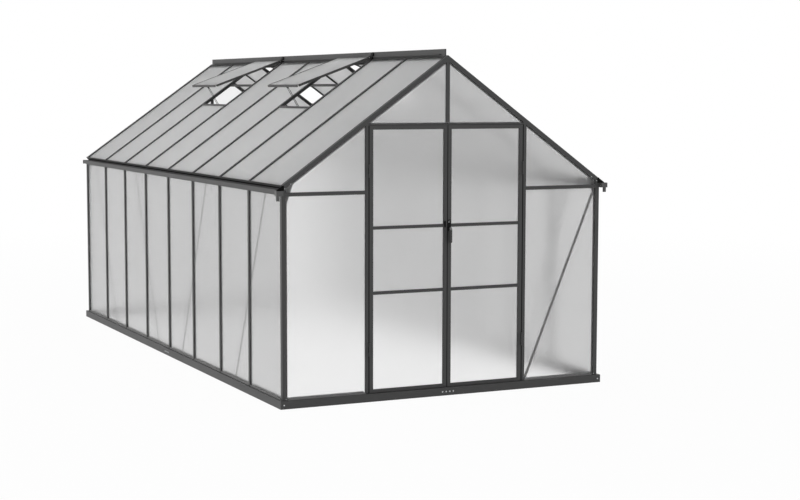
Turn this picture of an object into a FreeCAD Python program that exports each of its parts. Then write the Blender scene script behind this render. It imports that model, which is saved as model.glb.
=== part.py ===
import FreeCAD, Part
import math
import os

# Aluminium greenhouse: framed walls and roof with translucent panels, a double door in the front
# gable and roof vents on both slopes. Millimetres, X across the front, Y from front to back, Z up,
# origin under the middle of the base.

# Overall layout
BAY = 610.0              # pitch of the studs and of the roof bars
BAYS_WIDE = 4
BAYS_LONG = 8
END_EXTRA_X = 5.0        # end bays past the pitch, across the gables
END_EXTRA_Y = 22.0       # end bays past the pitch, along the side walls
EAVE_Z = 1483.0          # roof plane above the ground, at the outer face of the side walls
PITCH = 35.27            # slope of the roof in degrees
ROOF_SHORT = 3.0         # roof short of the outer face of the side walls

# Panels and the slots that hold them
PANEL_T = 6.0
CAP_T = 8.0              # depth of the outer cap of every bar
FLANGE_T = 2.0           # thickness of the inner flange of every bar
FACE_GAP = 0.3           # play between a panel and its slot
EDGE_GAP = 1.0           # play between a panel's edge and the bottom of its slot
SEAT_GAP = 0.2           # play between pieces that rest on each other

# Glazing bars: studs, roof bars and gable bars
BAR_W = 27.0
WEB_T = 4.0
STEM_D = 6.0             # depth of the stiffening stem behind the inner flange
FOOT_W = 12.0
FOOT_T = 2.0
CORNER_W = 31.0          # face of a corner post and of a gable rafter
CORNER_CORE = 20.0
CORNER_FLANGE = 41.0     # reach of the inner flanges of posts and rafters
EAVE_BAR_W = 25.5
EAVE_BAR_Z = 1426.0      # middle of the level bars in the gables

# Base and sills
BASE_H = 55.0
BASE_PROUD = 20.0        # base past the outer face of the walls
BASE_W = 56.0
BASE_T = 3.0
BASE_JOINT = 0.6         # gap between the two halves of a base rail
ANCHOR_R = 5.5
ANCHOR_IN = 8.0          # anchor holes behind the outer face of the side walls
SPLICE_L = 120.0
SPLICE_T = 3.0
SPLICE_CLEAR = 2.0       # splice plate to the flanges of the base rail
BRACKET_LEG = 60.0
SILL_T = 2.0
SILL_LIP_H = 8.0
SILL_SLOT_H = 9.0        # flange behind the panels
SILL_FLANGE_H = 14.0     # flange along the inner edge
SILL_D = 34.0

# Bolts and nuts
BOLT_R = 3.0
BOLT_CLEAR = 0.2
BOLT_HEAD_R = 5.8
BOLT_HEAD_H = 4.0
NUT_H = 5.0
BOLT_PITCH = 28.0        # bolts of a splice
CORNER_BOLT = 24.0       # corner bolts from the corner of the base

# Eave rails, gutters and noses
RAIL_Z = 1420.0          # underside of the eave rails
RAIL_D = 34.0
RAIL_WALL = 2.5
RAIL_SLOT = 12.0
GUTTER_W = 30.0
GUTTER_Z = 1429.0
GUTTER_H = 29.0
GUTTER_BACK_H = 31.0
GUTTER_T = 2.0
GUTTER_LIP = 7.0
END_CAP_T = 2.0
END_CAP_EDGE = 2.0
OUTLET_BOX_W = 49.0      # boxes on the front ends of the gutters
OUTLET_BOX_L = 35.0
OUTLET_BOX_H = 34.0
OUTLET_BOX_DROP = 11.0   # floor of the boxes below the underside of the gutters
OUTLET_T = 2.0
OUTLET_R = 12.0
OUTLET_SPIGOT = 33.0     # straight length that takes a downpipe or hose
OUTLET_OUT = 34.0        # outlets from the outer face of the wall, clear of the base
NOSE_T = 3.0
NOSE_UP = 4.0
NOSE_DOWN = 13.0

# Ridge
RIDGE_TOP_S = 14.0       # roof bars and panels start this far down the slope
RIDGE_WEB_T = 6.0        # upright web between the upper ends of the roof bars
RIDGE_WING = 44.0
RIDGE_WING_T = 3.0
RIDGE_BOX_W = 24.0
RIDGE_BOX_H = 17.0
CREST_W = 10.0
CREST_H = 43.5           # crest above the apex of the roof plane
CAP_SHORT = 40.0         # ridge cap short of the faces of the gables
FLASHING_L = 24.0
FLASHING_T = 2.0
HINGE_S = 7.0            # vent hinge line down the slope from the apex
HINGE_OUT = 14.0         # vent hinge line above the roof plane
BEAD_R = 4.0
BEAD_NECK_T = 3.0
BEAD_SHORT = 60.0        # hinge beads short of the ends of the ridge cap
STOP_L = 38.0
STOP_T = 18.0
STOP_GAP = 2.0

# Roof vents
VENT_BAYS = (2, 5)
VENT_L = 632.0           # hinge line to lower edge
VENT_SIDE_GAP = 3.0      # vent to the middle line of the bars beside it
VENT_UNDER = 11.0        # vent frame below the hinge line
VENT_OVER = 6.0          # vent frame above the hinge line
VENT_WALL = 2.0
VENT_LIP = 12.0
VENT_LIP_T = 1.7
VENT_OPEN = 15.3         # degrees open at rest
HOOK_GAP = 0.3
HOOK_WALL = 2.7
HOOK_MOUTH = 85.0        # degrees left open for the neck of the bead
HOOK_MOUTH_AT = 200.0    # middle of that mouth, degrees from the down-slope direction
LUG_FLANGE = 40.0
PIVOT_IN = 36.0          # stay pivot from the lower edge of the vent
PIVOT_DROP = 7.0         # stay pivot below the vent frame
PIVOT_R = 2.5
LUG_T = 2.0
LUG_W = 16.0
STAY_T = 3.0
STAY_W = 13.0
STAY_END = 10.0          # stay past the end of its slot
STAY_SIDE_GAP = 0.5
PEG_R = 2.5
PEG_DROP = 22.0          # guide peg below the stay pivot of a closed vent
SLOT_PLAY = 0.5
CHEEK_T = 2.0
CHEEK_GAP = 2.5          # cheek plates of the peg from the stay
CHEEK_H = 16.0
SILL_CAP_W = 14.0
VENT_LAP = 14.0          # closed vent past the upper edge of its sill
VENT_SILL_CORE = 6.0
CROSSBAR_S = 312.0
CROSSBAR_W = 28.0
CROSSBAR_T = 4.0

# Doors
DOOR_HALF = 594.0        # inner face of each jamb from the middle
JAMB_W = 26.0
JAMB_CORE = 16.0
JAMB_D = 34.0
STOP_LIP = 12.0
STOP_LIP_T = 3.0
STOP_LIP_GAP = 2.0
HEADER_DROP = 15.4       # underside of the header below the corner of jamb and rafter
HEADER_LIP_H = 8.0
HEADER_WEB_T = 4.0
HEADER_FLANGE_H = 15.0
LEAF_D = 25.0
LEAF_HINGE_GAP = 3.5
LEAF_MEET_GAP = 2.0      # each leaf from the middle line
LEAF_TOP_GAP = 2.0
LEAF_FLOOR_GAP = 2.0
STILE_W = 27.5
STILE_CORE = 14.0
BOTTOM_RAIL_H = 23.0
MID_RAIL_W = 22.0
MID_RAIL_Z = (740.5, 1184.0)
BARREL_R = 6.0
BARREL_OUT = 7.0         # hinge axis in front of the leaf
HINGE_PIN_R = 3.0
HINGE_PLAY = 0.1
HINGE_H = 88.0
HINGE_MIDDLE_H = 40.0
HINGE_END_GAP = 0.5
HINGE_Z = (355.5, 1569.0)
HINGE_PLATE_T = 2.0
HINGE_PLATE_W = 13.0
HINGE_PLATE_GAP = 9.0    # plates from the hinge axis
PIN_HEAD_R = 4.5
PIN_HEAD_H = 2.0

# Door handle
HANDLE_Z = 1164.0
HANDLE_IN = 9.5          # handle spindle from the meeting edge of the leaf
HANDLE_PLATE_W = 24.0
HANDLE_PLATE_T = 3.0
HANDLE_PLATE_UP = 60.0
HANDLE_PLATE_DOWN = 20.0
BOSS_R = 7.8
BOSS_H = 10.0
LOCK_UP = 44.0
LOCK_R = 7.0
LOCK_H = 6.0
SPINDLE_R = 4.0
SPINDLE_PLAY = 0.1
LEVER_HUB_R = 9.0
LEVER_HUB_H = 16.0
LEVER_GAP = 0.5
LEVER_L = 101.0
LEVER_W = 20.0
LEVER_T = 8.0
TONGUE_L = 45.0
TONGUE_W = 14.0
TONGUE_T = 3.0
TONGUE_GAP = 2.0
PULL_W = 12.0
PULL_H = 44.0
PULL_T = 8.0
PULL_X = -20.5
PULL_Z = 1194.0

# Braces and gussets
BRACE_W = 20.0
BRACE_T = 2.0
BRACE_END = 7.0          # brace ends inside the edges of the rails
BRACES = ((0.57, 1.58), (2.59, 3.59), (5.61, 4.60), (7.63, 6.60))  # bays at the top and at the sill
GUSSET_T = 3.0
GUSSET_LOW = 1360.0
GUSSET_IN = 66.0
APEX_PLATE_W = 180.0
NUT_INSET = 12.0

# Worked out from the above
V = FreeCAD.Vector
X, Y, UP = V(1, 0, 0), V(0, 1, 0), V(0, 0, 1)
HALF_W = BAY * BAYS_WIDE / 2 + END_EXTRA_X
HALF_L = BAY * BAYS_LONG / 2 + END_EXTRA_Y
SIN, COS, TAN = (f(math.radians(PITCH)) for f in (math.sin, math.cos, math.tan))
APEX_Z = EAVE_Z + HALF_W * TAN
HEADER_Z = APEX_Z - DOOR_HALF * TAN - CORNER_W / COS - HEADER_DROP
PANEL_D = CAP_T + FACE_GAP
FLANGE_D = PANEL_D + PANEL_T + FACE_GAP
FLANGE_END = FLANGE_D + FLANGE_T
STEM_END = FLANGE_END + STEM_D
BAR_D = STEM_END + FOOT_T
ROOF_END_S = (HALF_W - ROOF_SHORT) / COS
VENT_SILL_S = HINGE_S + VENT_L - VENT_LAP
BOLT_Z = BASE_H / 2
FAR = 4 * (HALF_W + HALF_L)


def bay_line(bay):
    """Place along the side walls of a line between bays, counted from the front."""
    return BAY * (bay - BAYS_LONG / 2)


SIDE_LINES = [bay_line(k) for k in range(1, BAYS_LONG)]
END_LINES = [BAY * (k - BAYS_WIDE / 2) for k in range(1, BAYS_WIDE)]


def prism(outline, origin, across, inward, run):
    """Outline points set out on two axes from an origin, and pulled along a vector."""
    points = [origin + across * a + inward * b for a, b in outline]
    return Part.Face(Part.makePolygon(points + points[:1])).extrude(run)


def box(x0, x1, y0, y1, z0, z1):
    low = V(min(x0, x1), min(y0, y1), min(z0, z1))
    return Part.makeBox(abs(x1 - x0), abs(y1 - y0), abs(z1 - z0), low)


def rod(radius, start, run):
    return Part.makeCylinder(radius, run.Length, start, run)


def hexagon(radius, start, run, across):
    """Six-sided prism, as of a bolt head or a nut."""
    other = run.cross(across).normalize()
    corners = [(radius * math.cos(math.radians(a)), radius * math.sin(math.radians(a)))
               for a in range(0, 360, 60)]
    return prism(corners, start, across, other, run)


def on_slope(side, s, depth, y):
    """Point s down the slope from the apex and depth below the roof plane."""
    return V(side * (s * COS - depth * SIN), y, APEX_Z - s * SIN - depth * COS)


def down(side):
    return V(side * COS, 0, -SIN)


def into(side):
    return V(-side * SIN, 0, -COS)


def roof_z(x, depth):
    """Height of the plane that lies depth below the roof plane."""
    return APEX_Z - abs(x) * TAN - depth / COS


def above_roof(depth, y0, y1):
    """Everything above the plane that lies depth below the roof plane."""
    outline = [(-FAR, roof_z(FAR, depth)), (0, roof_z(0, depth)), (FAR, roof_z(FAR, depth)),
               (FAR, FAR), (-FAR, FAR)]
    return prism(outline, V(0, min(y0, y1), 0), X, UP, Y * abs(y1 - y0))


def under_rafters(shape, end):
    """Cuts the top of a gable piece to the face and to the inner flange of the rafters."""
    face = above_roof(CORNER_W, end * HALF_L, end * (HALF_L - FAR))
    flange = above_roof(CORNER_FLANGE, end * (HALF_L - FLANGE_D), end * (HALF_L - FLANGE_END))
    return shape.cut(face).cut(flange)


def bar_outline(width, stem):
    """Cap, web and inner flange of a glazing bar, with or without a stem behind it."""
    a, w, f = width / 2, WEB_T / 2, FOOT_W / 2
    half = [(a, 0), (a, CAP_T), (w, CAP_T), (w, FLANGE_D), (a, FLANGE_D), (a, FLANGE_END)]
    if stem:
        half += [(w, FLANGE_END), (w, STEM_END), (f, STEM_END), (f, BAR_D)]
    return half + [(-t, d) for t, d in reversed(half)]


def edge_outline(width, core, depth):
    """Frame bar with a core along one edge and a panel slot open to the other."""
    return [(0, 0), (width, 0), (width, CAP_T), (core, CAP_T), (core, FLANGE_D), (width, FLANGE_D),
            (width, FLANGE_END), (core, FLANGE_END), (core, depth), (0, depth)]


def corner_outline():
    """Angle section with a panel slot in each leg."""
    half = [(CORNER_W, 0), (CORNER_W, CAP_T), (CORNER_CORE, CAP_T), (CORNER_CORE, FLANGE_D),
            (CORNER_FLANGE, FLANGE_D), (CORNER_FLANGE, FLANGE_END), (CORNER_CORE, FLANGE_END)]
    core = [(CORNER_CORE, CORNER_CORE)]
    return [(0, 0)] + half + core + [(b, a) for a, b in reversed(half)]


def panel(points, end):
    """Flat panel in the plane of a gable, from points across and up."""
    face = V(0, end * (HALF_L - PANEL_D), 0)
    return prism(points, face, X, UP, Y * (-end * PANEL_T))


# Base rails, splices and corner brackets
def base_outline():
    """Channel open to the inside, depth measured from the outer face of the wall."""
    o, i, t = -BASE_PROUD, BASE_W - BASE_PROUD, BASE_T
    lower = [(o, 0), (i, 0), (i, t), (o + t, t)]
    return lower + [(o + t, BASE_H - t), (i, BASE_H - t), (i, BASE_H), (o, BASE_H)]


def mitre(x_side, y_side, first_along_x):
    """Half of the square at a base corner that belongs to the other rail."""
    xo, yo = HALF_W + BASE_PROUD, HALF_L + BASE_PROUD
    xi, yi = xo - BASE_W, yo - BASE_W
    third = (xo, yi) if first_along_x else (xi, yo)
    outline = [(x_side * x, y_side * y) for x, y in ((xo, yo), third, (xi, yi))]
    return prism(outline, V(0, 0, 0), X, Y, UP * BASE_H)


def base_end(end):
    halves = []
    for side in (-1, 1):
        start = V(side * BASE_JOINT / 2, end * HALF_L, 0)
        run = X * (side * (HALF_W + BASE_PROUD - BASE_JOINT / 2))
        rail = prism(base_outline(), start, V(0, -end, 0), UP, run)
        halves.append(rail.cut(mitre(side, end, True)))
    return halves


def base_side(side):
    halves = []
    for end in (-1, 1):
        start = V(side * HALF_W, end * BASE_JOINT / 2, 0)
        run = Y * (end * (HALF_L + BASE_PROUD - BASE_JOINT / 2))
        rail = prism(base_outline(), start, V(-side, 0, 0), UP, run)
        anchor = V(side * (HALF_W - ANCHOR_IN), end * bay_line(BAYS_LONG - 0.5), 0)
        halves.append(rail.cut(mitre(side, end, False)).cut(rod(ANCHOR_R, anchor, UP * BASE_T)))
    return halves


WEB_IN = BASE_PROUD - BASE_T       # inner face of a base rail's web, outside the wall face
PLATE_LOW = BASE_T + SPLICE_CLEAR
PLATE_HIGH = BASE_H - BASE_T - SPLICE_CLEAR


def base_splices():
    plates = []
    for way in (-1, 1):
        x = HALF_W + WEB_IN
        y = HALF_L + WEB_IN
        half = SPLICE_L / 2
        plates.append(box(-half, half, way * y, way * (y - SPLICE_T), PLATE_LOW, PLATE_HIGH))
        plates.append(box(way * x, way * (x - SPLICE_T), -half, half, PLATE_LOW, PLATE_HIGH))
    return plates


def base_corner_brackets():
    brackets = []
    for side in (-1, 1):
        for end in (-1, 1):
            x, y = side * (HALF_W + WEB_IN), end * (HALF_L + WEB_IN)
            t, leg = SPLICE_T, BRACKET_LEG
            outline = [(0, 0), (leg, 0), (leg, t), (t, t), (t, leg), (0, leg)]
            start = V(x, y, PLATE_LOW)
            brackets.append(prism(outline, start, X * -side, Y * -end, UP * (PLATE_HIGH - PLATE_LOW)))
    return brackets


def base_bolt_places():
    """Point on the outer face of the base, and the direction into the bolted joint."""
    places = []
    splice = [BOLT_PITCH * (k - 1.5) for k in range(4)]
    x, y = HALF_W + BASE_PROUD, HALF_L + BASE_PROUD
    for way in (-1, 1):
        corner_x = [side * (x - CORNER_BOLT) for side in (-1, 1)]
        places += [(V(u, way * y, BOLT_Z), V(0, -way, 0)) for u in splice + corner_x]
        places += [(V(way * x, u, BOLT_Z), V(-way, 0, 0)) for u in splice]
    return places


def base_bolts():
    bolts = []
    for place, inward in base_bolt_places():
        grip = BASE_T + SPLICE_T
        head = hexagon(BOLT_HEAD_R, place, inward * -BOLT_HEAD_H, UP)
        nut = hexagon(BOLT_HEAD_R, place + inward * grip, inward * NUT_H, UP)
        bolts.append(head.fuse([rod(BOLT_R, place, inward * grip), nut]).removeSplitter())
    return bolts


def with_base_holes(solids):
    """Bolt holes of the base joints, through every solid that they meet."""
    holes = [rod(BOLT_R + BOLT_CLEAR, p, d * (BASE_T + SPLICE_T)) for p, d in base_bolt_places()]
    return [solid.cut([h for h in holes if h.BoundBox.intersect(solid.BoundBox)]) for solid in solids]


# Sill rails, one between each two uprights
def sill_outline():
    """Channel that takes the lower edge of a panel, as depth and height."""
    t = SILL_T
    return [(0, 0), (SILL_D, 0), (SILL_D, SILL_FLANGE_H), (SILL_D - t, SILL_FLANGE_H), (SILL_D - t, t),
            (FLANGE_END, t), (FLANGE_END, SILL_SLOT_H), (FLANGE_D, SILL_SLOT_H), (FLANGE_D, t),
            (CAP_T, t), (CAP_T, SILL_LIP_H), (0, SILL_LIP_H)]


def sill_gaps(half, lines):
    """Clear stretches of sill between posts and studs."""
    starts = [-half + CORNER_FLANGE] + [u + BAR_W / 2 for u in lines]
    ends = [u - BAR_W / 2 for u in lines] + [half - CORNER_FLANGE]
    return list(zip(starts, ends))


def sill_rails_sides():
    rails = []
    for side in (-1, 1):
        for a, b in sill_gaps(HALF_L, SIDE_LINES):
            rails.append(prism(sill_outline(), V(side * HALF_W, a, BASE_H), X * -side, UP, Y * (b - a)))
    return rails


def sill_rails_gables():
    jamb_out = DOOR_HALF + JAMB_W
    front = [(-HALF_W + CORNER_FLANGE, -jamb_out), (jamb_out, HALF_W - CORNER_FLANGE)]
    spans = [(-1, a, b) for a, b in front] + [(1, a, b) for a, b in sill_gaps(HALF_W, END_LINES)]
    outline = sill_outline()
    return [prism(outline, V(a, end * HALF_L, BASE_H), Y * -end, UP, X * (b - a)) for end, a, b in spans]


# Posts, studs and gable bars
def corner_post(side, end):
    height = roof_z(HALF_W - CORNER_FLANGE, 0) - BASE_H
    post = prism(corner_outline(), V(side * HALF_W, end * HALF_L, BASE_H), X * -side, Y * -end, UP * height)
    rail_y = HALF_L - CORNER_W
    notch = box(side * (HALF_W - CORNER_W), side * (HALF_W - CAP_T), end * rail_y, end * (rail_y - CORNER_W),
                RAIL_Z, APEX_Z)
    return under_rafters(post.cut(notch), end)


def side_studs(side):
    run = UP * (RAIL_Z - BASE_H)
    outline = bar_outline(BAR_W, True)
    return [prism(outline, V(side * HALF_W, y, BASE_H), Y, X * -side, run) for y in SIDE_LINES]


def gable_bar(x, end, low):
    bar = prism(bar_outline(BAR_W, False), V(x, end * HALF_L, low), X, Y * -end, UP * (APEX_Z - low))
    return under_rafters(bar, end)


def level_bars(end):
    """Level bars at eave height, between the posts and the uprights of a gable."""
    post_in = HALF_W - CORNER_W
    jamb_out = DOOR_HALF + JAMB_W
    if end < 0:
        spans = [(-post_in, -jamb_out), (jamb_out, post_in)]
    else:
        starts = [-post_in] + [x + BAR_W / 2 for x in END_LINES]
        ends = [x - BAR_W / 2 for x in END_LINES] + [post_in]
        spans = list(zip(starts, ends))
    bars = []
    for a, b in spans:
        bar = prism(bar_outline(EAVE_BAR_W, False), V(a, end * HALF_L, EAVE_BAR_Z), UP, Y * -end, X * (b - a))
        for side in (-1, 1):
            flange = box(side * (HALF_W - CORNER_FLANGE), side * HALF_W, end * (HALF_L - CAP_T),
                         end * (HALF_L - FLANGE_END), EAVE_BAR_Z - EAVE_BAR_W, EAVE_BAR_Z + EAVE_BAR_W)
            bar = bar.cut(flange)
        bars.append(bar)
    return bars


def door_jamb(side):
    base = V(side * DOOR_HALF, -HALF_L, BASE_H)
    post = prism(edge_outline(JAMB_W, JAMB_CORE, JAMB_D), base, X * side, Y, UP * (APEX_Z - BASE_H))
    lip_d = LEAF_D + STOP_LIP_GAP
    lip_top = HEADER_Z - STOP_LIP - SEAT_GAP
    lip = box(side * DOOR_HALF, side * (DOOR_HALF - STOP_LIP), -HALF_L + lip_d, -HALF_L + lip_d + STOP_LIP_T,
              BASE_H, lip_top)
    return under_rafters(post.fuse(lip).removeSplitter(), -1)


def door_header():
    lip_d = LEAF_D + STOP_LIP_GAP
    back = lip_d + STOP_LIP_T
    web = HEADER_WEB_T
    outline = [(0, 0), (lip_d, 0), (lip_d, -STOP_LIP), (back, -STOP_LIP), (back, web), (FLANGE_END, web),
               (FLANGE_END, HEADER_FLANGE_H), (FLANGE_D, HEADER_FLANGE_H), (FLANGE_D, web), (CAP_T, web),
               (CAP_T, HEADER_LIP_H), (0, HEADER_LIP_H)]
    bar = prism(outline, V(-DOOR_HALF, -HALF_L, HEADER_Z), Y, UP, X * (2 * DOOR_HALF))
    return under_rafters(bar, -1)


# Eave rails, gutters and noses
def eave_rail(side):
    def top(d):
        return EAVE_Z + d * TAN - (BAR_D + SEAT_GAP) / COS

    low, slot, wall = RAIL_Z, RAIL_Z + RAIL_SLOT, RAIL_WALL
    outline = [(0, low), (CAP_T, low), (CAP_T, slot), (FLANGE_D, slot), (FLANGE_D, low), (FLANGE_END, low),
               (FLANGE_END, slot), (RAIL_D - wall, slot), (RAIL_D - wall, low), (RAIL_D, low),
               (RAIL_D, top(RAIL_D)), (0, top(0))]
    chamber = [(wall, slot + wall), (RAIL_D - wall, slot + wall), (RAIL_D - wall, top(RAIL_D - wall) - wall),
               (wall, top(wall) - wall)]
    start = V(side * HALF_W, -HALF_L + CORNER_W, 0)
    run = Y * (2 * (HALF_L - CORNER_W))
    return prism(outline, start, X * -side, UP, run).cut(prism(chamber, start, X * -side, UP, run))


def gutter(side):
    t, w, h = GUTTER_T, GUTTER_W, GUTTER_H
    outline = [(0, 0), (0, GUTTER_BACK_H), (t, GUTTER_BACK_H), (t, t), (w - t, t), (w - t, h - t),
               (w - GUTTER_LIP, h - t), (w - GUTTER_LIP, h), (w, h), (w, 0)]
    return prism(outline, V(side * HALF_W, -HALF_L, GUTTER_Z), X * side, UP, Y * (2 * HALF_L))


def gutter_end_cap(side):
    """Cap on the rear end of a gutter."""
    e = END_CAP_EDGE
    outline = [(0, -e), (GUTTER_W + e, -e), (GUTTER_W + e, GUTTER_H + e), (0, GUTTER_H + e)]
    return prism(outline, V(side * HALF_W, HALF_L, GUTTER_Z), X * side, UP, Y * END_CAP_T)


def gutter_outlet(side):
    """Open box on the front end of a gutter, with a spigot under its floor."""
    def block(a, b, y0, y1, z0, z1):
        return box(side * (HALF_W + a), side * (HALF_W + b), y0, y1, z0, z1)

    t, wide, back = OUTLET_T, OUTLET_BOX_W, -HALF_L
    front = back - OUTLET_BOX_L
    low = GUTTER_Z - OUTLET_BOX_DROP
    top = low + OUTLET_BOX_H
    pocket = block(t, wide - t, front + t, back - t, low + t, top)
    mouth = block(GUTTER_T, GUTTER_W - GUTTER_T, back - t, back, GUTTER_Z + GUTTER_T, top)
    place = V(side * (HALF_W + OUTLET_OUT), (front + back) / 2, low)
    spigot = rod(OUTLET_R, place, UP * -OUTLET_SPIGOT)
    bore = rod(OUTLET_R - t, place + UP * t, UP * -(OUTLET_SPIGOT + t))
    shell = block(0, wide, front, back, low, top).cut([pocket, mouth])
    return shell.fuse(spigot).cut(bore).removeSplitter()


def eave_nose(side):
    """Strip across the ends of the roof bars, over the gutter."""
    start = on_slope(side, ROOF_END_S, -NOSE_UP, -HALF_L)
    outline = [(0, 0), (NOSE_T, 0), (NOSE_T, NOSE_UP + NOSE_DOWN), (0, NOSE_UP + NOSE_DOWN)]
    return prism(outline, start, down(side), into(side), Y * (2 * HALF_L))


# Roof bars and ridge
def gable_rafter(side, end):
    start = on_slope(side, 0, 0, end * HALF_L)
    rafter = prism(corner_outline(), start, Y * -end, into(side), down(side) * ROOF_END_S)
    across = box(0, -side * FAR, -FAR, FAR, 0, FAR)
    doorway = box(-DOOR_HALF, DOOR_HALF, -HALF_L, -HALF_L + JAMB_D, 0, HEADER_Z)
    return rafter.cut([across, doorway])


def roof_bars(side):
    run = down(side) * (ROOF_END_S - RIDGE_TOP_S)
    outline = bar_outline(BAR_W, True)
    bars = [prism(outline, on_slope(side, RIDGE_TOP_S, 0, y), Y, into(side), run) for y in SIDE_LINES]
    past = box(side * (RIDGE_WEB_T / 2 + SEAT_GAP), -side * FAR, -FAR, FAR, 0, FAR)
    return [bar.cut(past) for bar in bars]


def mirrored(half):
    """Outline that is the same on both sides of the middle plane, from its right half."""
    return half + [(-x, z) for x, z in reversed(half) if x > 0]


def ridge_beam():
    depth = BAR_D + SEAT_GAP
    wing_top = on_slope(1, RIDGE_WING, depth, 0)
    wing_low = on_slope(1, RIDGE_WING, depth + RIDGE_WING_T, 0)
    half_box = RIDGE_BOX_W / 2
    low = roof_z(0, depth) - RIDGE_BOX_H
    web = RIDGE_WEB_T / 2
    half = [(0, roof_z(0, SEAT_GAP)), (web, roof_z(web, SEAT_GAP)), (web, roof_z(web, depth)),
            (wing_top.x, wing_top.z), (wing_low.x, wing_low.z),
            (half_box, roof_z(half_box, depth + RIDGE_WING_T)), (half_box, low)]
    inner = half_box - RIDGE_WING_T
    lid = depth + RIDGE_WING_T
    chamber = [(0, roof_z(0, lid)), (inner, roof_z(inner, lid)), (inner, low + RIDGE_WING_T)]
    inside = HALF_L - FLANGE_END - GUSSET_T
    start, run = V(0, -inside, 0), Y * (2 * inside)
    beam = prism(mirrored(half), start, X, UP, run).cut(prism(mirrored(chamber), start, X, UP, run))
    web_end = HALF_L - CORNER_FLANGE - SEAT_GAP
    return beam.cut([above_roof(depth, end * HALF_L, end * web_end) for end in (-1, 1)])


def hinge_point(side, y):
    return on_slope(side, HINGE_S, -HINGE_OUT, y)


def ridge_cap():
    """Flashing on both slopes, upright crest, and a hinge bead on each side of the crest."""
    tip_low = on_slope(1, FLASHING_L, 0, 0)
    tip_top = on_slope(1, FLASHING_L, -FLASHING_T, 0)
    face = CREST_W / 2
    half = [(0, APEX_Z), (tip_low.x, tip_low.z), (tip_top.x, tip_top.z), (face, roof_z(face, -FLASHING_T)),
            (face, APEX_Z + CREST_H)]
    end = HALF_L - CAP_SHORT
    cap = prism(mirrored(half), V(0, -end, 0), X, UP, Y * (2 * end))
    end -= BEAD_SHORT
    for side in (-1, 1):
        bead = hinge_point(side, -end)
        neck = box(0, bead.x, -end, end, bead.z - BEAD_NECK_T / 2, bead.z + BEAD_NECK_T / 2)
        cap = cap.fuse([neck, rod(BEAD_R, bead, Y * (2 * end))])
    return cap.removeSplitter()


def vent_edges(bay):
    return bay_line(bay) + VENT_SIDE_GAP, bay_line(bay + 1) - VENT_SIDE_GAP


def vent_stops():
    """Blocks clipped on the bead at the front edge of each vent."""
    stops = []
    for side in (-1, 1):
        for bay in VENT_BAYS:
            y = vent_edges(bay)[0] - STOP_GAP - STOP_L
            bead = hinge_point(side, y)
            face = CREST_W / 2
            low = roof_z(face, -FLASHING_T - SEAT_GAP)
            foot = roof_z(face + STOP_T, -FLASHING_T - SEAT_GAP)
            top = APEX_Z + CREST_H
            outline = [(face, low), (face + STOP_T, foot), (face + STOP_T, bead.z + BEAD_R), (face, top)]
            block = prism(outline, V(0, y, 0), X * side, UP, Y * STOP_L)
            grip = BEAD_NECK_T / 2 + SEAT_GAP
            neck = box(0, bead.x, y, y + STOP_L, bead.z - grip, bead.z + grip)
            stops.append(block.cut([neck, rod(BEAD_R + SEAT_GAP, bead, Y * STOP_L)]))
    return stops


# Gussets, apex plates, braces and their nuts
def gable_plate(points, end):
    start = V(0, end * (HALF_L - FLANGE_END), 0)
    return prism(points, start, X, UP, Y * (-end * GUSSET_T))


def gusset_points(side):
    edge = HALF_W - CORNER_CORE - SEAT_GAP
    inner = HALF_W - CORNER_CORE - GUSSET_IN
    depth = CORNER_CORE + SEAT_GAP
    outline = [(edge, GUSSET_LOW), (edge, roof_z(edge, depth)), (inner, roof_z(inner, depth)),
               (inner, roof_z(inner, CORNER_FLANGE)), (HALF_W - CORNER_FLANGE, GUSSET_LOW)]
    return [(side * x, z) for x, z in outline]


def apex_points():
    depth = CORNER_CORE + SEAT_GAP
    half = APEX_PLATE_W / 2
    return mirrored([(0, roof_z(0, depth)), (half, roof_z(half, depth)), (half, roof_z(half, CORNER_FLANGE)),
                     (0, roof_z(0, CORNER_FLANGE))])


def gusset_plates():
    plates = []
    for end in (-1, 1):
        plates += [gable_plate(gusset_points(side), end) for side in (-1, 1)]
        plates.append(gable_plate(apex_points(), end))
    return plates


def side_brace(side, top_bay, low_bay):
    """Flat strip from the eave rail to the sill, against their inner faces."""
    top = V(side * (HALF_W - RAIL_D), bay_line(top_bay), RAIL_Z + BRACE_END)
    low = V(side * (HALF_W - RAIL_D), bay_line(low_bay), BASE_H + BRACE_END)
    return strip(top, low, X * (-side * BRACE_T))


def strip(a, b, thickness):
    along = b - a
    across = along.cross(thickness).normalize() * (BRACE_W / 2)
    outline = [(0, -1), (1, -1), (1, 1), (0, 1)]
    return prism(outline, a, along, across, thickness)


def front_brace():
    """Strip across the right front bay, from the gusset to the sill beside the jamb."""
    depth = -HALF_L + SILL_D
    top = V(HALF_W - CORNER_CORE - BRACE_W, depth, GUSSET_LOW + BRACE_END)
    low = V(DOOR_HALF + JAMB_W + BRACE_W, depth, BASE_H + BRACE_END)
    return strip(top, low, Y * BRACE_T)


def brace_spacer():
    """Packing block between the eave gusset and the top of the front brace."""
    x = HALF_W - CORNER_CORE - BRACE_W
    z = GUSSET_LOW + BRACE_END
    half = BRACE_W / 2
    return box(x - half, x + half, -HALF_L + FLANGE_END + GUSSET_T, -HALF_L + SILL_D, z - half / 2, z + half)


def wall_braces():
    braces = [side_brace(side, top, low) for side in (-1, 1) for top, low in BRACES]
    return braces + [front_brace(), brace_spacer()]


def nut(place, inward):
    """Nut with the end of its bolt standing out of it."""
    body = hexagon(BOLT_HEAD_R, place, inward * NUT_H, UP)
    return body.fuse(rod(BOLT_R, place, inward * (NUT_H + BOLT_R)))


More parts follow.
